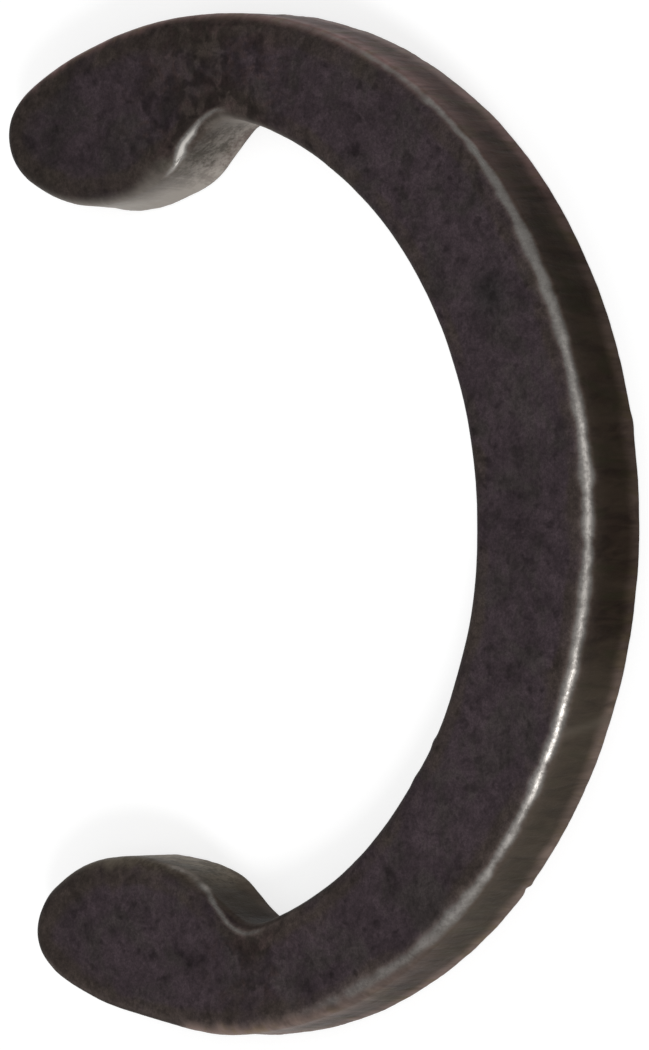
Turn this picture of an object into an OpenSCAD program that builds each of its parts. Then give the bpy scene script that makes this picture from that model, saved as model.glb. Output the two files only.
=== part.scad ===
// Crescent retaining ring for the outside of a shaft: one piece of spring sheet, stamped to a C.
// Two rounded lobes at its open ends and the middle of its back grip the bottom of the shaft's groove.
// The sheared face lies on z = 0, the face with the rolled edge looks up, and the Z axis is the shaft's.
// The back of the ring points to +X, its mouth opens to -X, and XZ is its plane of symmetry.

/* [Ring] */
// Outside diameter of the free ring
outer_d = 8.9; // [8.6:0.05:11]
// Diameter of the free circle that the two lobes and the back grip
seat_d = 6.1; // [5:0.05:6.4]
// Thickness of the sheet
thickness = 0.635; // [0.5:0.005:1.2]
// Offset of the outside circle from the shaft axis towards the mouth
outer_shift = 0.07; // [0:0.01:0.2]
// Radius of the arc between the two notches, over that of the circle that it grips with its middle
inner_relief = 0.55; // [0.3:0.05:0.9]

/* [Lobes] */
// Angle round the outside circle from the back to the tip
tip_angle = 118; // [105:1:125]
// Radius of the rounded tip
tip_r = 0.47; // [0.38:0.01:0.58]
// Radius of the side that grips the shaft
lobe_r = 1.7; // [1.4:0.05:2.1]
// Length of the straight flank between the lobe and the notch
flank_l = 0.52; // [0.1:0.02:1]
// Radius of the notch between the flank and the inner arc
notch_r = 0.4; // [0.25:0.01:0.5]

/* [Rolled edge] */
// Width of the rolled edge on the upper face
roll_w = 0.15; // [0.05:0.01:0.2]
// Depth of the rolled edge down the wall
roll_h = 0.11; // [0.04:0.01:0.15]

/* [Hidden] */
$fn = 96;
steel = [0.2, 0.18, 0.2];
outer_r = outer_d / 2;
seat_r = seat_d / 2;
inner_r = seat_r + inner_relief;
// the rolled edge is one arc, tangent to the upper face, or to the wall where it is deeper than wide
roll_r = (roll_w ^ 2 + roll_h ^ 2) / (2 * min(roll_w, roll_h));
roll_c = roll_w < roll_h ? [-roll_r, -roll_h] : [-roll_w, -roll_r];
// the flat core starts inside the rolled edge, and the rim with the walls reaches in under it
core_inset = roll_w + 0.05;
rim_w = core_inset + 0.2;
lobe_inset = (core_inset + rim_w) / 2;
arc_steps = 6;
// angle by which the two halves of an arc overlap
lap = 1;
// the sheet is drawn downwards from its rolled face at z = 0, a little too deep, and half_ring trims it
drawn_depth = 1.5 * thickness;

function polar(r, a) = [r * cos(a), r * sin(a)];
function arc_points(c, r, start, sweep) =
    [for (i = [1:arc_steps]) c + polar(r, start + i * sweep / arc_steps)];
function heading(v) = atan2(v[1], v[0]);
function turn(from, to) = to - from - 360 * floor((to - from) / 360);
// the point at distance ra from point a and rb from point b, clockwise of b as a sees it
function corner(a, ra, b, rb) =
    let (ab = b - a, along = (ra ^ 2 - rb ^ 2 + norm(ab) ^ 2) / (2 * norm(ab)))
    a + polar(along, heading(ab)) + polar(sqrt(ra ^ 2 - along ^ 2), heading(ab) - 90);

// centres of the arcs, each tangent to its neighbours; the lobe also touches the seat circle, and the flank
// is the cross tangent of the lobe's circle and the notch's
outer_c = [-outer_shift, 0];
inner_c = [seat_r - inner_r, 0];
tip_c = outer_c + polar(outer_r - tip_r, tip_angle);
lobe_c = corner([0, 0], seat_r + lobe_r, tip_c, lobe_r - tip_r);
notch_c = corner(inner_c, inner_r - notch_r, lobe_c, norm([lobe_r + notch_r, flank_l]));

// directions of the walls' normals where the arcs meet, and the angles that the arcs sweep
lobe_angle = heading(tip_c - lobe_c);
flank_angle = heading(notch_c - lobe_c) - atan2(flank_l, lobe_r + notch_r);
notch_angle = heading(notch_c - inner_c);
tip_sweep = turn(tip_angle, lobe_angle);
lobe_sweep = turn(lobe_angle, flank_angle);
notch_sweep = turn(notch_angle + 180, flank_angle);

// section of the rim: its wall stands on x = 0 and the sheet lies on -x
module rim_section(w) {
    difference() {
        translate([-w, -drawn_depth]) square([w, drawn_depth]);
        difference() {
            translate([-roll_w, -roll_h]) square([2 * roll_w, 2 * roll_h]);
            translate(roll_c) circle(roll_r);
        }
    }
}

// rim round a convex corner of radius r, from the origin's point of its wall: +sweep runs on, -sweep runs back
module convex_rim(r, sweep) {
    translate([-r, 0, 0])
        rotate_extrude(start = min(sweep, 0), angle = abs(sweep))
            translate([r, 0]) rim_section(min(r, rim_w));
}

// the same round a concave corner
module concave_rim(r, sweep) {
    mirror([1, 0, 0])
        translate([-r, 0, 0])
            rotate_extrude(start = min(sweep, 0), angle = abs(sweep))
                translate([r, 0]) mirror([1, 0]) rim_section(rim_w);
}

// rim along a straight wall, from the origin on
module straight_rim(length) {
    translate([0, length, 0]) rotate([90, 0, 0]) linear_extrude(length) rim_section(rim_w);
}

// places its children at the far end of an arc whose wall turns by sweep about a centre at x = -r
module after_arc(r, sweep) {
    translate([-r, 0, 0]) rotate(sweep) translate([r, 0, 0]) children();
}

// walls and rolled edge of the +Y half; a short arc is drawn half from each end, so that both ends meet
// their neighbours exactly
module half_rim() {
    translate(outer_c) rotate(tip_angle) translate([outer_r, 0, 0]) {
        convex_rim(outer_r, -tip_angle - lap);
        convex_rim(tip_r, tip_sweep / 2);
        after_arc(tip_r, tip_sweep) {
            convex_rim(tip_r, -tip_sweep / 2 - lap);
            convex_rim(lobe_r, lobe_sweep / 2);
            after_arc(lobe_r, lobe_sweep) {
                convex_rim(lobe_r, -lobe_sweep / 2 - lap);
                straight_rim(flank_l);
                translate([0, flank_l, 0]) {
                    concave_rim(notch_r, notch_sweep / 2);
                    after_arc(-notch_r, -notch_sweep) {
                        concave_rim(notch_r, -notch_sweep / 2 - lap);
                        concave_rim(inner_r, notch_angle + lap);
                    }
                }
            }
        }
    }
}

// flat middle of the +Y half, from the rim of one wall to the rim of the other
module half_core() {
    translate([0, 0, -drawn_depth]) linear_extrude(drawn_depth) {
        difference() {
            translate(outer_c) circle(outer_r - core_inset);
            translate(inner_c) circle(inner_r + core_inset);
            translate([-outer_d, -outer_r]) square([outer_d, outer_d]);
        }
        polygon(concat(
            arc_points(outer_c, outer_r - lobe_inset, notch_angle, tip_angle - notch_angle),
            arc_points(tip_c, tip_r - lobe_inset, tip_angle, tip_sweep),
            arc_points(lobe_c, lobe_r - lobe_inset, lobe_angle, lobe_sweep),
            arc_points(notch_c, notch_r + lobe_inset, notch_angle + notch_sweep, -notch_sweep)
        ));
    }
}

// the +Y half, trimmed at the plane of symmetry and to the thickness of the sheet
module half_ring() {
    intersection() {
        union() {
            half_rim();
            half_core();
        }
        translate([-outer_d, 0, -thickness]) cube([2 * outer_d, outer_d, 2 * thickness]);
    }
}

module ring() {
    color(steel) translate([0, 0, thickness]) {
        half_ring();
        mirror([0, 1, 0]) half_ring();
    }
}

ring();
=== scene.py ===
"""Looks of a crescent retaining ring: a detailed mesh of the stamping, with a worn black phosphate finish.

Lengths are in millimetres up to where a mesh, the camera or a lamp is made, and angles are in degrees.
"""
import math
from types import SimpleNamespace

import bpy
import numpy as np
from mathutils import Matrix, Vector, noise
from mathutils.geometry import delaunay_2d_cdt


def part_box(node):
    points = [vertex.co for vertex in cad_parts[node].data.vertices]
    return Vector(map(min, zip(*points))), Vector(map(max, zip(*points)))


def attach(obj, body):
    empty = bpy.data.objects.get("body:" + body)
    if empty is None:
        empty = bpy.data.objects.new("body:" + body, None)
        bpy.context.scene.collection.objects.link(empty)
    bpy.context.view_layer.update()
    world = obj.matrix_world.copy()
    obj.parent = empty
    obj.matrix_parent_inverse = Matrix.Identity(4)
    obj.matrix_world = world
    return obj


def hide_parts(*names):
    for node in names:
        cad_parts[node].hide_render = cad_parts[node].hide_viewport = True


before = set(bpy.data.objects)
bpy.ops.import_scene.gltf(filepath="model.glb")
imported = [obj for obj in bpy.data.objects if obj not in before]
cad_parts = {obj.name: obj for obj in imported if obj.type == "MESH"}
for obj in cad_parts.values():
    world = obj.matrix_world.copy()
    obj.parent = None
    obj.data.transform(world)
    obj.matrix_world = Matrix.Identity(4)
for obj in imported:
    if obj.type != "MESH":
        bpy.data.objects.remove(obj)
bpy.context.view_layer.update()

MM = 0.001
low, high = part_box("ring")

# ---------------------------------------------------------------- outline of the stamping
OUTER_R = (high.y - low.y) / 2 / MM
THICK = (high.z - low.z) / MM
OUTER_SHIFT = 0.07  # of the outside's centre from the shaft's axis, towards the mouth
SEAT_R = 3.05  # free grip circle, about the shaft's axis
INNER_R = 3.6
TIP_ANGLE = 118.0  # at which the outside ends
TIP_R = 0.47
LOBE_R = 1.7
FLANK_L = 0.52
NOTCH_R = 0.4
STEP = 0.026  # between the outline's points


def polar(radius, angle):
    return np.array([radius * math.cos(math.radians(angle)), radius * math.sin(math.radians(angle))])


def heading(v):
    return math.degrees(math.atan2(v[1], v[0]))


def corner(a, from_a, b, from_b):
    """The point at those distances from a and b that lies on the right of the way from a to b."""
    ab = b - a
    length = np.linalg.norm(ab)
    reach = (from_a ** 2 - from_b ** 2 + length ** 2) / (2 * length)
    return a + polar(reach, heading(ab)) + polar(math.sqrt(from_a ** 2 - reach ** 2), heading(ab) - 90)


def outline():
    """Closed outline, anticlockwise from the middle of the back.

    Gives its points, their outward normals and their places. A place counts the stretches from the back to
    the middle of the inside: 0 outer arc, 1 tip, 2 lobe, 3 flank, 4 notch, 5 inner arc. It is the same on
    both halves.
    """
    outer_centre = np.array([-OUTER_SHIFT, 0.0])
    inner_centre = np.array([SEAT_R - INNER_R, 0.0])
    tip_centre = outer_centre + polar(OUTER_R - TIP_R, TIP_ANGLE)
    lobe_centre = corner(np.zeros(2), SEAT_R + LOBE_R, tip_centre, LOBE_R - TIP_R)
    lobe_to_notch = math.hypot(LOBE_R + NOTCH_R, FLANK_L)
    notch_centre = corner(inner_centre, INNER_R - NOTCH_R, lobe_centre, lobe_to_notch)
    lobe_start = heading(tip_centre - lobe_centre) % 360
    flank_turn = math.degrees(math.atan2(FLANK_L, LOBE_R + NOTCH_R))
    flank_out = (heading(notch_centre - lobe_centre) - flank_turn) % 360
    notch_end = heading(notch_centre - inner_centre)
    points, normals, places = [], [], []

    def add(point, normal, place):
        points.append(point)
        normals.append(normal)
        places.append(place)

    def arc(stretch, centre, radius, start, end, out=1):
        """Adds an arc; out is 1 where the steel is on the centre's side, and -1 where it is not."""
        count = max(3, round(abs(math.radians(end - start)) * radius / STEP))
        for i in range(count):
            angle = start + (end - start) * i / count
            add(centre + polar(radius, angle), polar(out, angle), stretch + i / count)

    def straight(stretch, start, end, out_angle):
        count = round(np.linalg.norm(end - start) / STEP)
        for i in range(count):
            add(start + (end - start) * i / count, polar(1, out_angle), stretch + i / count)

    arc(0, outer_centre, OUTER_R, 0, TIP_ANGLE)
    arc(1, tip_centre, TIP_R, TIP_ANGLE, lobe_start)
    arc(2, lobe_centre, LOBE_R, lobe_start, flank_out)
    flank_start = lobe_centre + polar(LOBE_R, flank_out)
    flank_end = notch_centre + polar(NOTCH_R, flank_out - 180)
    straight(3, flank_start, flank_end, flank_out)
    arc(4, notch_centre, NOTCH_R, flank_out - 180, notch_end, out=-1)
    arc(5, inner_centre, INNER_R, notch_end, 0, out=-1)
    add(inner_centre + polar(INNER_R, 0), polar(-1, 0), 6.0)

    other_half = slice(-2, 0, -1)
    mirrored = np.array([1.0, -1.0])
    points, normals, places = np.array(points), np.array(normals), np.array(places)
    points = np.vstack([points, points[other_half] * mirrored])
    normals = np.vstack([normals, normals[other_half] * mirrored])
    return points, normals, np.concatenate([places, places[other_half]])


# ---------------------------------------------------------------- values along the outline
def smooth(start, end, x):
    """Rises smoothly from 0 at start to 1 at end."""
    t = np.clip((x - start) / (end - start), 0, 1)
    return t * t * (3 - 2 * t)


def hump(x, middle, width):
    return np.exp(-((x - middle) / width) ** 2)


SEED_SHIFT = (17.13, 5.71, 9.37)  # between the parts of the noise that two seeds next to each other use
OCTAVE_RATIO = 2.03
FIELD_GAIN = 1.6


def field(points, lump, seed, octaves=1, stretch=(1, 1, 1)):
    """Smooth noise of about -1 to 1 at points; lump is the size of its lumps."""
    offset = Vector([seed * shift for shift in SEED_SHIFT])
    scale = [s / lump for s in stretch]
    values = np.empty(len(points))
    for i, (x, y, z) in enumerate(points):
        at = Vector((x * scale[0], y * scale[1], z * scale[2])) + offset
        total, strength, frequency = 0.0, 1.0, 1.0
        for _ in range(octaves):
            total += strength * noise.noise(at * frequency)
            strength *= 0.5
            frequency *= OCTAVE_RATIO
        values[i] = total
    return values * FIELD_GAIN


points, normals, place = outline()
COUNT = len(points)
flat = np.column_stack([points, np.zeros(COUNT)])
azimuth = np.degrees(np.arctan2(normals[:, 1], normals[:, 0]))
outside = smooth(1.25, 1.0, place)  # 1 on the outer arc, 0 from a quarter of the way round the tip
upper = smooth(-0.2, 0.2, points[:, 1])  # 1 on the half with y over 0
lower = 1 - upper


def along(values):
    """Values along the outline, straight between those given as {place: value}."""
    return np.interp(place, list(values), list(values.values()))


def humps(*rows):
    """Sum of humps along the outline, each given as its height, place and width."""
    return sum(height * hump(place, middle, width) for height, middle, width in rows)


def soften(values, reach):
    """Smooths values along the outline; reach is in steps of the outline."""
    far = 3 * reach
    weights = np.exp(-(np.arange(-far, far + 1) / reach) ** 2)
    closed = np.concatenate([values[-far:], values, values[:far]])
    return np.convolve(closed, weights / weights.sum(), "valid")


# ---------------------------------------------------------------- shape along the outline
ROLL_W, ROLL_H = 0.155, 0.125  # of the rolled edge


def roll_size():
    """Size of the rolled edge against ROLL_W and ROLL_H: large at tips and lobes, small in the notches."""
    size = along({0.9: 1.0, 1.4: 1.12, 2.4: 1.18, 3.1: 1.0, 4.3: 0.85, 5.2: 1.0})
    size = size * (1 - lower * along({0.76: 0, 0.86: 0.4, 0.98: 0.4, 1.15: 0}))
    return soften(size + 0.06 * field(flat, 1.3, seed=3) + 0.04 * field(flat, 0.35, seed=4), 3)


def wall_flare():
    """How far the wall leans out at the sheared face: most where the flanks start."""
    flare = outside * (0.013 + 0.012 * smooth(-40, -80, azimuth))
    flare = flare + upper * along({
        2.0: 0, 2.5: 0.038, 2.75: 0.034, 2.95: 0.084, 3.05: 0.085, 3.65: 0.028, 4.0: 0.018, 4.7: 0})
    flare = flare + lower * along({
        2.65: 0, 2.8: 0.014, 3.0: 0.048, 3.12: 0.046, 3.9: -0.028, 4.1: -0.016, 4.4: 0})
    return soften(flare, 5)


def outline_error():
    """How far the stamping lies outside its drawn outline: long tips, a slim lower end, small burrs."""
    longer_tip = humps((0.030, 1.33, 0.28), (0.022, 0.97, 0.07), (-0.019, 1.97, 0.2))
    flatter_side = 0.012 * outside * smooth(0.36, 0.52, place) * smooth(0.86, 0.74, place)
    upper_half = longer_tip - flatter_side + humps((-0.013, 5.05, 0.2))
    slimmer_end = along({
        0.74: 0, 0.86: 0.010, 0.95: 0.018, 1.05: 0.029, 1.15: 0.022, 1.25: 0.013, 1.5: 0.005, 1.9: 0.012,
        2.3: 0.007, 2.7: 0.012, 2.9: -0.004, 3.1: 0})
    lower_tip = humps((0.037, 1.41, 0.26), (0.015, 2.2, 0.12)) - slimmer_end
    low_flat = humps((0.014, 0.77, 0.035), (-0.036, 0.868, 0.055))
    inner_waves = humps((0.016, 5.44, 0.1), (-0.008, 3.95, 0.2))
    inner_burrs = humps((0.011, 5.556, 0.010), (0.010, 5.475, 0.016))
    lower_half = lower_tip + low_flat + inner_waves
    return soften(upper * upper_half + lower * lower_half, 4) + lower * inner_burrs


def sheared_edge_marks():
    """A nick with its raised burr low on the back, and a small bump in the middle of the back."""
    nick = 0.007 * hump(azimuth, -46.3, 0.35) - 0.019 * hump(azimuth, -47.2, 0.40)
    return outside * (nick + 0.014 * hump(azimuth, 8, 1.1))


# ---------------------------------------------------------------- worn line along the rolled edge, with a painted highlight
def line_height():
    """Where on the roll the line runs, as the angle round the roll: 0 is the wall, 90 the upper face."""
    height = upper * along({
        0.95: 44, 2.6: 20, 2.9: 8, 3.0: 13, 3.5: 50, 4.0: 62, 4.6: 70, 5.2: 50})
    height = height + lower * along({
        0.95: 44, 2.6: 20, 2.9: 10, 3.2: 18, 3.5: 42, 4.0: 62, 4.6: 70, 5.2: 50})
    height = height + outside * (16 * smooth(-45, -70, azimuth) - 13 * smooth(20, 55, azimuth))
    return height + 3 * field(flat, 0.15, seed=51, octaves=2)


def line_half_width():
    """Half the line's width, in degrees round the roll."""
    width = 9 + outside * (8 + 4 * smooth(-38, -55, azimuth) - 5 * smooth(18, 42, azimuth))
    width = width + lower * humps((7, 3.0, 0.3)) + upper * humps((7, 3.35, 0.35))
    return width * (1 + 0.32 * field(flat, 0.2, seed=52, octaves=2))


def line_strength():
    """Strength of the worn line with its painted highlight: 0 none, 1 worn through, more where bright."""
    # the strength paints the highlight's brightness round the ring, and goes above 1 on the upper flank
    strength = outside * (0.12 + 0.88 * smooth(85, 30, azimuth)) * (1 - 0.25 * smooth(-30, -45, azimuth))
    strength = strength * (1 - 0.12 * hump(azimuth, -11, 9))
    strength = strength * (1 - outside * 0.5 * smooth(-46, -68, azimuth))
    strength = strength * (1 - outside * 0.8 * smooth(-68, -84, azimuth))
    upper_line = along({1.1: 0, 2.88: 0, 3.05: 1.9, 3.75: 1.8, 4.1: 0.55, 4.6: 0.4, 5.0: 0})
    strength = strength + upper * upper_line
    lower_line = along({1.1: 0, 2.60: 0, 2.85: 0.42, 3.1: 0.64, 3.7: 0.50, 4.5: 0.40, 4.9: 0.22, 5.2: 0})
    strength = strength + lower * lower_line * (1 + 0.55 * field(flat, 0.14, seed=55, octaves=2))
    for amount, start, end, lump, seed in ((0.45, 25, 45, 0.13, 53), (0.30, -20, -50, 0.16, 54)):
        uneven = amount * outside * smooth(start, end, azimuth) * field(flat, lump, seed, octaves=2)
        strength = strength * (1 + uneven)
    return np.maximum(strength, 0)


def line_skirt():
    """Strength of the faint painted sheen that fades out from the line down the wall."""
    on_outside = outside * (0.10 + 0.06 * hump(azimuth, -25, 30) + 0.09 * hump(azimuth, 50, 14))
    return on_outside + (1 - outside) * 0.10 * smooth(2.8, 3.1, place) * smooth(5.3, 4.9, place)


def wall_spill():
    """How far the look of the wall spreads up over the roll: 0 not at all, 1 nearly to the upper face."""
    spill = upper * humps((1, 2.93, 0.13), (0.3, 4.0, 0.3), (0.6, 4.5, 0.35))
    spill = spill + lower * along({2.2: 0, 2.45: 0.8, 2.85: 0.64, 3.1: 0})
    low_side = 0.55 * smooth(-60, -76, azimuth) + 0.45 * smooth(-84, -93, azimuth)
    spill = spill + outside * smooth(-98.5, -95, azimuth) * low_side
    spill = spill + outside * 0.5 * smooth(92, 102, azimuth)
    return np.clip(spill * (1 + 0.6 * field(flat, 0.12, seed=61, octaves=2)), 0, 1.2)


# ---------------------------------------------------------------- rim: sheared edge, wall and roll
EDGE_R = 0.009  # rounding of the sheared edge
EDGE_ANGLES = (15, 45, 75)
UNDER_INSETS = (0.05, 0.02)  # of the rows on the sheared face
FACE_INSET = 0.035  # of the last row on the upper face, from the roll's end
WALL_STEPS = 15
WALL_SPACING = 0.85  # under 1 brings the wall's rows closer together towards the roll
ROLL_STEPS = 13
# the angle round the roll is 0 where the wall ends, and it goes on below 0 down the wall;
# these stand for the rows that are on neither, and WALL_LOWEST is under any of the wall's
UNDER_ANGLE, EDGE_ANGLE, WALL_LOWEST, FACE_ANGLE = -400, -300, -250, 106
# the look of the wall fades out over the roll between these angles, which spilling raises
FADE_START, FADE_END = 5, 62
SPILL_START, SPILL_END = 22, 28


def rim_rows():
    """Rows of points round the ring, from the sheared face up to the rolled face.

    A row is its inset, its height, how much it belongs to the wall, and its angle round the rolled edge.
    """
    one = np.ones(COUNT)
    roll = roll_size()
    spill = wall_spill()
    rows = [(inset * one, 0 * one, 0.0, UNDER_ANGLE * one) for inset in UNDER_INSETS]
    for angle in EDGE_ANGLES:
        t = math.radians(angle)
        inset, height = EDGE_R * (1 - math.sin(t)), EDGE_R * (1 - math.cos(t))
        rows.append((inset * one, height * one, angle / 90, EDGE_ANGLE * one))
    wall_top = THICK - ROLL_H * roll
    for i in range(WALL_STEPS + 1):
        height = EDGE_R + (wall_top - EDGE_R) * (i / WALL_STEPS) ** WALL_SPACING
        rows.append((0 * one, height, 1.0, np.degrees((height - wall_top) / ROLL_H)))
    for i in range(1, ROLL_STEPS + 1):
        angle = 90 * i / ROLL_STEPS
        t = math.radians(angle)
        inset, height = ROLL_W * roll * (1 - math.cos(t)), wall_top + ROLL_H * roll * math.sin(t)
        belongs = smooth(FADE_END + SPILL_END * spill, FADE_START + SPILL_START * spill, angle)
        rows.append((inset, height, belongs, angle * one))
    rows.append((ROLL_W * roll + FACE_INSET, THICK * one, 0.0, FACE_ANGLE * one))
    return rows


rows = rim_rows()
RIM = len(rows) * COUNT  # how many vertices the rim has


def every_row(values):
    """Values along the outline, repeated for each row of the rim."""
    return np.tile(values, len(rows))


LIP_H = 0.17  # how far up the wall its lip leans out more
LIP_SHARE = 0.65  # of the flare that is in the lip
MARKS_H = 0.11  # how far up the wall the nick and the bumps reach


def uneven_rim(verts, wall):
    """How far each vertex of the rim is pushed outwards."""
    z = verts[:, 2]
    lip = np.clip((LIP_H - z) / LIP_H, 0, 1) ** 1.5
    push = every_row(wall_flare()) * ((1 - LIP_SHARE) * (1 - z / THICK) + LIP_SHARE * lip)
    push += every_row(outline_error())
    push += every_row(sheared_edge_marks()) * smooth(MARKS_H, 0.0, z)
    # streaks that run through the thickness, rougher in the torn lower part, and a fine grain
    torn = smooth(0.42, 0.25, z + 0.05 * field(verts, 0.4, seed=23, stretch=(1, 1, 0)))
    streaks = 0.0014 * field(verts, 0.05, seed=21, octaves=2, stretch=(1, 1, 0.12))
    streaks += 0.004 * field(verts, 0.25, seed=22, octaves=2, stretch=(1, 1, 0.35))
    grain = 0.0005 * field(verts, 0.03, seed=24)
    return push + (streaks * (0.4 + 0.6 * torn) + grain) * np.clip(wall + 0.3, 0, 1)


def rim_faces():
    """Faces between each row of the rim and the next."""
    faces = []
    for row in range(0, RIM - COUNT, COUNT):
        for i in range(COUNT):
            k = (i + 1) % COUNT
            faces.append((row + i, row + k, row + COUNT + k, row + COUNT + i))
    return faces


# ---------------------------------------------------------------- flat sides
CAP_TOP, CAP_UNDER = 0.05, 0.07  # spacing of their vertices
GRID_ROW = 0.866  # from one row to the next, in spacings: the height of an even triangle
GRID_JITTER = 0.2  # in spacings
GRID_GAP = 0.6  # to the rim, in spacings
GRID_CHUNK = 2000  # points that are tested at a time
MERGE = 1e-7  # points closer than this are one


def grid_inside(loop, spacing, seed):
    """Uneven grid of points inside a closed loop, and how far each is from the loop's points."""
    lowest, highest = loop.min(0), loop.max(0)
    x_steps = np.arange(lowest[0], highest[0], spacing)
    y_steps = np.arange(lowest[1], highest[1], spacing * GRID_ROW)
    grid_x, grid_y = np.meshgrid(x_steps, y_steps)
    grid_x[1::2] += spacing / 2
    jitter = np.random.default_rng(seed).uniform(-GRID_JITTER, GRID_JITTER, (grid_x.size, 2))
    grid = np.column_stack([grid_x.ravel(), grid_y.ravel()]) + jitter * spacing
    x1, y1 = loop[:, 0], loop[:, 1]
    x2, y2 = np.roll(x1, -1), np.roll(y1, -1)
    slope = (x2 - x1) / np.where(y2 == y1, 1e-12, y2 - y1)
    inside = np.zeros(len(grid), bool)
    distance = np.zeros(len(grid))
    for start in range(0, len(grid), GRID_CHUNK):
        chunk = slice(start, start + GRID_CHUNK)
        x, y = grid[chunk, :1], grid[chunk, 1:]
        crossed = ((y1 > y) != (y2 > y)) & (x < slope * (y - y1) + x1)
        inside[chunk] = crossed.sum(1) % 2 == 1
        distance[chunk] = np.hypot(x - x1, y - y1).min(1)
    keep = inside & (distance > spacing * GRID_GAP)
    return grid[keep], distance[keep]


def fill_cap(verts, first, spacing, height, faces_up, seed):
    """Fills a flat side inside the row of the rim that starts at vertex first.

    Gives all vertices with the new ones, how far the new ones are from the rim, and the faces.
    """
    loop = verts[first:first + COUNT, :2]
    grid, distance = grid_inside(loop, spacing, seed)
    given = [Vector(c) for c in loop] + [Vector(c) for c in grid]
    edges = [(i, (i + 1) % COUNT) for i in range(COUNT)]
    found, _, polygons, sources, _, _ = delaunay_2d_cdt(given, edges, [], 1, MERGE)
    index, new, far = {}, [], []
    for i, source in enumerate(sources):
        origin = source[0] if source else -1
        if 0 <= origin < COUNT:
            index[i] = first + origin
        else:
            index[i] = len(verts) + len(new)
            new.append((found[i][0], found[i][1], height))
            far.append(distance[origin - COUNT] if origin >= COUNT else spacing)
    verts = np.vstack([verts, np.array(new)])
    faces = []
    for polygon in polygons:
        face = [index[i] for i in polygon]
        a, b, c = (verts[i, :2] for i in face[:3])
        area = (b[0] - a[0]) * (c[1] - a[1]) - (b[1] - a[1]) * (c[0] - a[0])
        if (area > 0) != faces_up:
            face.reverse()
        faces.append(tuple(face))
    return verts, far, faces


# ---------------------------------------------------------------- where the finish is worn, thin or dirty, and painted light
SKIRT_TOP, SKIRT_FADE = 25, 30  # degrees round the roll: where the skirt is full, and how fast it fades


def worn_line_and_painted_highlight():
    """The worn line, its painted highlight and its skirt of painted sheen, at the vertices of the rim."""
    strength, height, width, skirt = line_strength(), line_height(), line_half_width(), line_skirt()
    shine = []
    for _, _, _, angle in rows:
        down_wall = np.exp(np.minimum(angle - SKIRT_TOP, 0) / SKIRT_FADE) * (angle > WALL_LOWEST)
        shine.append(strength * hump(angle, height, width) + smooth(42, 22, angle) * down_wall * skirt)
    return np.concatenate(shine)


def bare_steel_and_painted_light(z):
    """Bare steel on the sheared wall, lightest under the upper lobe, partly as painted light."""
    # more under the upper lobe than the lower: partly wear, partly painted light, as the upper wall faces
    # the key lamp
    lobe = upper * along({
        1.85: 0, 2.2: 0.95, 2.9: 0.92, 3.4: 0.57, 4.0: 0.68, 4.4: 0.82, 4.6: 1.0, 4.9: 0.95, 5.15: 0.6,
        5.4: 0})
    lobe = lobe + lower * along({
        1.7: 0, 2.2: 0.98, 2.65: 0.86, 2.85: 0.58, 3.0: 0.34, 3.3: 0.12, 3.9: 0.04, 4.4: 0})
    lobe_middle = (0.24 * upper + 0.06) * hump(place, 2.4, 0.3)
    bare = every_row(lobe) * (0.20 + every_row(lobe_middle) + 1.1 * (1 - z / THICK))
    # painted light: a little low on the back, which faces the lamps, and a pale band on the lip at the
    # upper side
    low_back = outside * smooth(-12, -27, azimuth) * smooth(-66, -50, azimuth)
    high_side = outside * smooth(36, 60, azimuth)
    return bare + 0.090 * every_row(low_back) + 0.42 * every_row(high_side) * smooth(0.19, 0.02, z)


def thin_coat_and_painted_light(rim):
    """Pinkish thin coat and painted light: a strip by the sheared edge, upper wall at both sides."""
    z = rim[:, 2]
    # along the sheared edge the strip is partly painted light, where the lip leans out to the light
    strip = 0.25 + outside * (0.45 * smooth(-8, -30, azimuth) + 0.60 * smooth(25, 60, azimuth))
    thin = every_row(strip) * smooth(0.18, 0.01, z + 0.03 * field(rim, 0.3, seed=41))
    # at both sides and near the lower tip, where the wall is seen edge-on, the coat is partly a painted
    # reflection
    upper_side = smooth(26, 70, azimuth) * smooth(150, 108, azimuth)
    lower_side = 0.8 * smooth(-48, -75, azimuth) + 0.4 * smooth(-74, -88, azimuth)
    sides = outside * (upper_side + smooth(-98, -95.5, azimuth) * lower_side)
    thin += every_row(sides) * (0.32 + 0.42 * smooth(0.30, 0.52, z))
    return thin + 0.48 * every_row(outside * smooth(-98, -96, azimuth) * smooth(-78, -89, azimuth))


def pitted():
    """Where the bare steel has dark pits, 0 to 1."""
    upper_pits = along({2.75: 0, 3.1: 1, 3.8: 1, 4.3: 0.7, 4.6: 0})
    return every_row(upper * upper_pits + lower * along({2.2: 0, 2.6: 0.9, 3.0: 0.9, 3.3: 0}))


def crease(z):
    """A fine pale line that runs down through the wall, low on the back."""
    return every_row(outside) * hump(every_row(azimuth) + 3 * (z - 0.3), -25.5, 0.6)


def spot(verts, x, y, reach, full_at=0.0):
    """A round spot, strongest at the distance full_at from its middle, that fades out over its reach."""
    return hump(np.hypot(verts[:, 0] - x, verts[:, 1] - y), full_at, reach)


def grime(verts):
    """Grime on the upper face, round the upper notch and faintly near the lower one."""
    return spot(verts, 0.1, 3.7, 0.85) + 0.6 * spot(verts, 0.25, -3.85, 0.5)


# ---------------------------------------------------------------- the ring's mesh
# line, bare and thin also carry painted light: the line's highlight, and light and reflection on the wall
ATTRIBUTES = ("wall", "line", "bare", "thin", "pits", "crease", "margin", "soot", "smudge")
MARGIN = 0.09  # how far the look of the rim reaches into the flat sides
WAVE_H, WAVE_SINK = 0.0025, 0.0012  # waviness of the upper face, and how far it is lowered on the whole


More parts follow.
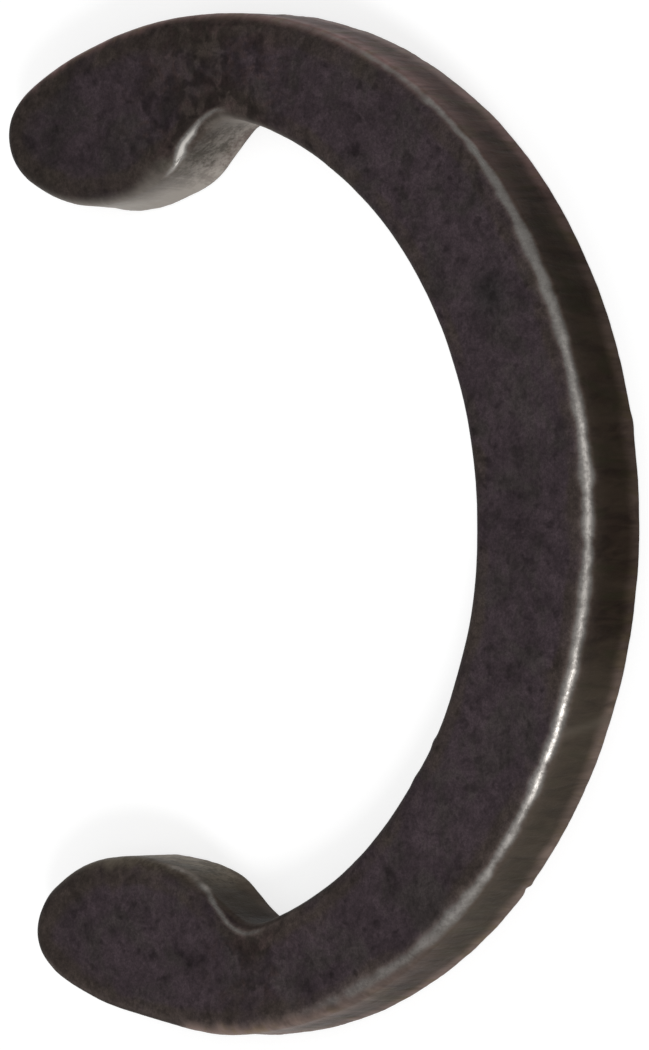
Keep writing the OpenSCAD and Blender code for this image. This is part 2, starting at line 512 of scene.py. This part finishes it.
def build_ring():
    """The whole ring as one closed mesh, with the values that its material reads."""
    insets = [points - normals * inset[:, None] for inset, _, _, _ in rows]
    verts = np.vstack([np.column_stack([inset, row[1]]) for inset, row in zip(insets, rows)])
    wall = np.concatenate([belongs * np.ones(COUNT) for _, _, belongs, _ in rows])
    outwards = np.column_stack([np.tile(normals, (len(rows), 1)), np.zeros(RIM)])
    verts += outwards * uneven_rim(verts, wall)[:, None]
    verts, top_far, top_faces = fill_cap(verts, RIM - COUNT, CAP_TOP, THICK, faces_up=True, seed=5)
    verts, under_far, under_faces = fill_cap(verts, 0, CAP_UNDER, 0.0, faces_up=False, seed=6)
    # the sheet is not dead flat
    wave = field(verts, 0.7, seed=31, octaves=2) * WAVE_H - WAVE_SINK
    verts[:, 2] += smooth(0.5, 0.6, verts[:, 2]) * wave

    rim = verts[:RIM]
    margin = np.concatenate([np.ones(RIM), np.exp(-np.array(top_far + under_far) / MARGIN)])
    smudge = spot(verts, 3.37, 1.75, 0.17, full_at=0.04)
    values = (wall, worn_line_and_painted_highlight(), bare_steel_and_painted_light(rim[:, 2]), thin_coat_and_painted_light(rim), pitted(), crease(rim[:, 2]),
              margin, grime(verts), smudge)
    mesh = bpy.data.meshes.new("ring_steel")
    mesh.from_pydata((verts * MM).tolist(), [], rim_faces() + top_faces + under_faces)
    for name, value in zip(ATTRIBUTES, values):
        padded = np.zeros(len(verts), np.float32)
        padded[:len(value)] = value
        mesh.attributes.new(name, "FLOAT", "POINT").data.foreach_set("value", padded)
    mesh.polygons.foreach_set("use_smooth", np.ones(len(mesh.polygons), bool))
    mesh.validate()
    obj = bpy.data.objects.new("ring_steel", mesh)
    bpy.context.scene.collection.objects.link(obj)
    return obj


# ---------------------------------------------------------------- helper for materials
class Graph:
    """Adds linked shader nodes to a new material; a value is a number, a colour or another socket."""

    def __init__(self, name):
        self.material = bpy.data.materials.new(name)
        self.material.use_nodes = True
        self.tree = self.material.node_tree
        self.tree.nodes.clear()

    def put(self, socket, value):
        if isinstance(value, bpy.types.NodeSocket):
            self.tree.links.new(value, socket)
        else:
            socket.default_value = value

    def node(self, kind, inputs=None, **settings):
        node = self.tree.nodes.new("ShaderNode" + kind)
        for name, value in settings.items():
            setattr(node, name, value)
        for name, value in (inputs or {}).items():
            self.put(node.inputs[name], value)
        return node

    def math(self, operation, a, b, clamp=False):
        return self.node("Math", {0: a, 1: b}, operation=operation, use_clamp=clamp).outputs[0]

    def plus(self, a, b, clamp=False):
        return self.math("ADD", a, b, clamp)

    def minus(self, a, b):
        return self.math("SUBTRACT", a, b)

    def times(self, first, *others, clamp=False):
        for other in others:
            first = self.math("MULTIPLY", first, other, clamp)
        return first

    def span(self, value, start, end, low=0.0, high=1.0):
        """Goes smoothly from low to high as value goes from start to end."""
        inputs = {"Value": value, "From Min": start, "From Max": end, "To Min": low, "To Max": high}
        return self.node("MapRange", inputs, interpolation_type="SMOOTHSTEP").outputs[0]

    def mix(self, factor, a, b):
        """Colour a where the factor is 0 and colour b where it is 1."""
        return self.node("Mix", {"Factor": factor, 6: a, 7: b}, data_type="RGBA").outputs[2]

    def brighten(self, colour, factor):
        return self.node("VectorMath", {0: colour, "Scale": factor}, operation="SCALE").outputs[0]

    def attribute(self, name):
        return self.node("Attribute", attribute_name=name).outputs["Fac"]

    def noise(self, at, scale, detail, rough, distortion=0.0, shift=(0, 0, 0), stretch=(1, 1, 1)):
        """Noise texture at a position; shift gives each texture its own part of the noise."""
        moved = self.node("Mapping", {"Vector": at, "Scale": stretch, "Location": shift}).outputs[0]
        inputs = {"Vector": moved, "Scale": scale, "Detail": detail, "Roughness": rough}
        return self.node("TexNoise", {**inputs, "Distortion": distortion}).outputs["Fac"]


# ---------------------------------------------------------------- black phosphate
FACE_PURPLE = (0.0402, 0.0293, 0.0340, 1)
FACE_GREY = (0.0372, 0.0304, 0.0306, 1)
FACE_BROWN = (0.0385, 0.0300, 0.0240, 1)
FACE_RED = (0.0430, 0.0285, 0.0275, 1)
FACE_SMUDGE = (0.0215, 0.0215, 0.0200, 1)
WALL_DARK = (0.0105, 0.0063, 0.0040, 1)
WALL_BROWN = (0.0205, 0.0130, 0.0088, 1)
WALL_LIGHT = (0.0310, 0.0225, 0.0145, 1)
WALL_OLIVE = (0.0150, 0.0135, 0.0058, 1)
WALL_CREASE = (0.075, 0.064, 0.050, 1)
# thin coat colours, which also paint light on the lip and a reflection at the sides
THIN_BROWN = (0.185, 0.133, 0.115, 1)
THIN_PINK = (0.250, 0.145, 0.138, 1)
THIN_OLIVE = (0.165, 0.118, 0.070, 1)
BARE_UPPER = (0.338, 0.306, 0.274, 1)
BARE_LOWER = (0.350, 0.300, 0.232, 1)
# colours of the worn line, which also paint its sheen and, where it is strongest, its highlight
LINE_FAINT_SHEEN = (0.30, 0.24, 0.215, 1)
LINE_WORN_HIGHLIGHT = (0.29, 0.275, 0.257, 1)
LINE_PAINTED_HIGHLIGHT = (0.66, 0.63, 0.59, 1)


def textures(g, at):
    """Noise textures of the finish, by name."""
    return SimpleNamespace(
        blotch=g.noise(at, 1.6, 3, 0.55, 0.5),
        tint=g.noise(at, 2.0, 3.5, 0.62, 0.6, shift=(3, 7, 2)),
        mottle=g.noise(at, 7, 4, 0.66, 0.4, shift=(11, 4, 2)),
        patch=g.noise(at, 4.6, 2, 0.5, 0.8, shift=(9, 5, 7)),
        speck=g.noise(at, 28, 3, 0.7, shift=(8, 1, 5)),
        fine=g.noise(at, 62, 2, 0.6, shift=(1, 9, 6)),
        spots=g.noise(at, 4.2, 1.5, 0.5, shift=(6, 3, 8)),
        dots=g.noise(at, 9, 1.5, 0.5, shift=(5, 5, 1)),
        # these three run down through the thickness
        ribs=g.noise(at, 9, 3.5, 0.58, 0.9, stretch=(1, 1, 0.25)),
        bands=g.noise(at, 3.5, 3, 0.6, 0.9, shift=(2, 6, 1), stretch=(1, 1, 0.3)),
        hue=g.noise(at, 4.5, 3, 0.6, 0.9, shift=(9, 2, 4), stretch=(1, 1, 0.3)),
        pit=g.noise(at, 5.5, 4, 0.6, 0.3, shift=(2, 8, 3), stretch=(1, 1, 1.5)))


def face_colour(g, x, y, tex, has):
    """Purple-grey with greyer, browner and redder patches, mottled, with dark and light flecks."""
    colour = g.mix(g.span(tex.tint, 0.46, 0.66), FACE_PURPLE, FACE_GREY)
    near_rim = g.plus(g.times(has.margin, 0.8), g.span(x, -1.0, -2.3, 0.0, 0.6))
    near_rim = g.plus(near_rim, g.times(has.soot, 0.75))
    brown = g.span(g.plus(near_rim, g.times(tex.blotch, 2.2)), 1.55, 2.2, 0.0, 0.75)
    colour = g.mix(brown, colour, FACE_BROWN)
    red = g.times(g.span(tex.hue, 0.50, 0.62, 0.0, 0.6), g.span(has.soot, 0.05, 0.5))
    colour = g.mix(red, colour, FACE_RED)
    colour = g.mix(g.times(has.smudge, 0.6), colour, FACE_SMUDGE)
    dark_soot = g.times(has.soot, g.span(tex.patch, 0.42, 0.58, 0.42, -0.04))
    dim_end = g.times(g.span(x, 0.8, -0.8), g.span(y, 1.5, 2.8, 0.03, 0.14))
    flecked = g.plus(g.minus(tex.fine, g.times(has.soot, 0.085)), g.times(tex.mottle, 0.4))
    tone = g.times(
        g.span(tex.mottle, 0.36, 0.64, 0.83, 1.13),
        g.span(tex.speck, 0.34, 0.66, 0.84, 1.15),
        g.span(tex.fine, 0.30, 0.70, 0.86, 1.13),
        g.span(tex.patch, 0.45, 0.55, 0.98, 1.12),
        g.span(tex.blotch, 0.32, 0.56, 0.80, 1.0),
        g.span(tex.spots, 0.60, 0.70, 1.0, 0.74),
        g.minus(1.0, dark_soot),
        g.minus(1.0, dim_end),
        g.span(tex.dots, 0.27, 0.42, 0.68, 1.0),
        g.span(flecked, 0.47, 0.38, 1.0, 1.6))
    return g.brighten(colour, tone)


def wall_colour(g, y, tex, has):
    """Dark brown coat streaked through the thickness, thin in places, bare in others, with painted light.
    """
    colour = g.mix(g.span(tex.ribs, 0.36, 0.64), WALL_DARK, WALL_BROWN)
    colour = g.mix(g.span(tex.bands, 0.42, 0.66, 0.0, 0.55), colour, WALL_LIGHT)
    colour = g.mix(g.span(tex.hue, 0.50, 0.68, 0.0, 0.65), colour, WALL_OLIVE)
    streaked = g.times(g.span(tex.ribs, 0.30, 0.68, 0.70, 1.22), g.span(tex.bands, 0.35, 0.65, 0.82, 1.18))
    thin = g.mix(g.span(y, 1.5, 3.4), THIN_BROWN, THIN_PINK)
    thin = g.mix(g.span(tex.hue, 0.49, 0.62, 0.0, 0.6), thin, THIN_OLIVE)
    colour = g.mix(g.times(has.thin, streaked, clamp=True), colour, thin)
    colour = g.mix(g.times(has.crease, 0.5), colour, WALL_CREASE)
    holes = g.span(g.plus(g.times(tex.speck, 0.5), g.times(tex.pit, 0.9)), 0.82, 0.56)
    unpitted = g.minus(1.0, g.times(has.pits, g.times(holes, 0.62)))
    # bare steel, which on some walls is also painted light
    bare = g.times(g.times(has.bare, unpitted), g.span(tex.ribs, 0.25, 0.65, 0.85, 1.08), clamp=True)
    return g.mix(bare, colour, g.mix(g.span(y, 1.5, -1.0), BARE_UPPER, BARE_LOWER))


def surface_height(g, tex, has):
    """Height for the bump: grain and mottle, ribs on the wall, and smoother on the worn line."""
    height = g.plus(g.times(tex.speck, 0.5), g.times(tex.fine, 0.3))
    height = g.plus(height, g.times(tex.mottle, 0.8))
    height = g.plus(height, g.times(tex.ribs, has.wall, 1.8))
    return g.times(g.minus(height, 0.8), g.minus(1.0, g.times(has.line, 0.7, clamp=True)))


def steel():
    """Black phosphate on stamped steel: mottled faces, streaked wall, worn line with a painted highlight.
    """
    # the worn line runs on the rolled edge; parts of the wall carry painted light and a painted reflection
    g = Graph("black_phosphate")
    metres = g.node("TexCoord").outputs["Object"]
    at = g.node("Mapping", {"Vector": metres, "Scale": (1 / MM, 1 / MM, 1 / MM)}).outputs[0]
    x, y, _ = g.node("SeparateXYZ", {"Vector": at}).outputs
    tex = textures(g, at)
    has = SimpleNamespace(**{name: g.attribute(name) for name in ATTRIBUTES})

    colour = g.mix(has.wall, face_colour(g, x, y, tex, has), wall_colour(g, y, tex, has))
    gaps = g.span(g.plus(g.times(tex.speck, 0.5), g.times(tex.mottle, 0.5)), 0.42, 0.58, 0.66, 1.0)
    # the line's mask, both for worn metal and for the painted highlight and sheen on it
    worn = g.times(has.line, gaps, clamp=True)
    # the line's colour, from a painted sheen through worn steel to a painted highlight
    polished = g.mix(g.span(has.line, 0.08, 0.4), LINE_FAINT_SHEEN, LINE_WORN_HIGHLIGHT)
    polished = g.mix(g.span(has.line, 0.95, 1.8), polished, LINE_PAINTED_HIGHLIGHT)
    rough = g.plus(g.span(tex.mottle, 0.3, 0.7, 0.50, 0.60), g.times(has.wall, -0.10))
    rough = g.plus(rough, g.times(worn, -0.22))
    bump = g.node("Bump", {"Strength": 0.5, "Distance": 0.01 * MM, "Height": surface_height(g, tex, has)})
    shader = g.node("BsdfPrincipled", {
        "Base Color": g.mix(worn, colour, polished),
        "Roughness": rough,
        "Metallic": g.times(worn, 0.95),
        "Normal": bump.outputs[0],
        "Specular IOR Level": 0.035,
        "Specular Tint": (1.0, 0.86, 0.80, 1)})
    g.node("OutputMaterial", {"Surface": shader.outputs[0]})
    return g.material


ring = build_ring()
ring.data.materials.append(steel())
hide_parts("ring")
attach(ring, "root")
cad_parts["ring"].data.materials.clear()
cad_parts["ring"].data.materials.append(ring.data.materials[0])

# ---------------------------------------------------------------- floor
FLOOR_HALF = 0.6  # metres
FLOOR_Z = -0.01 * MM  # just under the ring, so that the two never share a plane
FLOOR_GREY = (0.40, 0.40, 0.40, 1)
FLOOR_GLOW = 0.68  # what is missing from the lit grey to white


def floor_material():
    """Pale floor that shows as white, directly and in reflections, and keeps the ring's shadow."""
    g = Graph("pale_floor")
    path = g.node("LightPath").outputs
    seen = g.plus(path["Is Camera Ray"], path["Is Glossy Ray"], clamp=True)
    seen = g.plus(seen, path["Is Transmission Ray"], clamp=True)
    lit = g.node("BsdfDiffuse", {"Color": FLOOR_GREY})
    glow = g.node("Emission", {"Color": (1, 1, 1, 1), "Strength": g.times(seen, FLOOR_GLOW)})
    both = g.node("AddShader", {0: lit.outputs[0], 1: glow.outputs[0]})
    g.node("OutputMaterial", {"Surface": both.outputs[0]})
    return g.material


floor_mesh = bpy.data.meshes.new("floor")
floor_corners = [(FLOOR_HALF * x, FLOOR_HALF * y, FLOOR_Z) for x, y in ((-1, -1), (1, -1), (1, 1), (-1, 1))]
floor_mesh.from_pydata(floor_corners, [], [(0, 1, 2, 3)])
floor_mesh.materials.append(floor_material())
floor = bpy.data.objects.new("floor", floor_mesh)
bpy.context.scene.collection.objects.link(floor)

# ---------------------------------------------------------------- camera
VIEW_SPIN = 2.833  # turn of the ring about its own axis
VIEW_LEAN = 43.445  # of the ring's axis away from the line of sight, towards the mouth
VIEW_TILT, VIEW_ROLL = 0.067, 0.060
AIM_X, AIM_Y = -0.23207, 0.00426  # of the outer circle's centre in the view, in outer radii
DISTANCE = 16.0  # in outer radii
LENS = 280.4758  # millimetres, on a sensor as high as the picture
SENSOR = 36


def turn(axis, angle):
    return Matrix.Rotation(math.radians(angle), 3, axis)


to_camera = turn("Z", VIEW_ROLL) @ turn("X", VIEW_TILT) @ turn("Y", -VIEW_LEAN) @ turn("Z", VIEW_SPIN)
outer_centre_top = Vector((-OUTER_SHIFT, 0, THICK))
camera_at = outer_centre_top - to_camera.transposed() @ (Vector((AIM_X, AIM_Y, -DISTANCE)) * OUTER_R)
camera_data = bpy.data.cameras.new("camera")
camera_data.sensor_width = SENSOR
camera_data.lens = LENS
camera_data.clip_start = 0.001
camera_data.clip_end = 10
camera = bpy.data.objects.new("camera", camera_data)
camera.matrix_world = Matrix.Translation(camera_at * MM) @ to_camera.transposed().to_4x4()
bpy.context.scene.collection.objects.link(camera)
bpy.context.scene.camera = camera

# ---------------------------------------------------------------- light
AIR_LIGHT = 0.36
ring_middle = Vector((0, 0, THICK / 2)) * MM


def lamp(name, direction, distance, size, brightness):
    """Square lamp, in metres, that faces the ring; brightness is that of a white surface that faces it."""
    data = bpy.data.lights.new(name, "AREA")
    data.shape = "SQUARE"
    data.size = size
    data.energy = brightness * math.pi ** 2 * distance ** 2
    towards = Vector(direction).normalized()
    obj = bpy.data.objects.new(name, data)
    obj.location = ring_middle + towards * distance
    obj.rotation_euler = towards.to_track_quat("Z", "Y").to_euler()
    bpy.context.scene.collection.objects.link(obj)


lamp("key", (0.53, -0.55, 0.645), distance=0.16, size=0.036, brightness=0.42)
lamp("front", (0.687, 0.05, 0.727), distance=0.2, size=0.12, brightness=0.24)
lamp("side", (0.0, -0.85, 0.5), distance=0.16, size=0.14, brightness=0.12)
lamp("top", (-0.35, 0.1, 0.93), distance=0.2, size=0.2, brightness=0.2)

world = bpy.data.worlds.new("world")
bpy.context.scene.world = world
world.use_nodes = True
background = world.node_tree.nodes["Background"]
background.inputs["Color"].default_value = (1, 1, 1, 1)
background.inputs["Strength"].default_value = AIR_LIGHT
bpy.context.scene.view_settings.view_transform = "Standard"
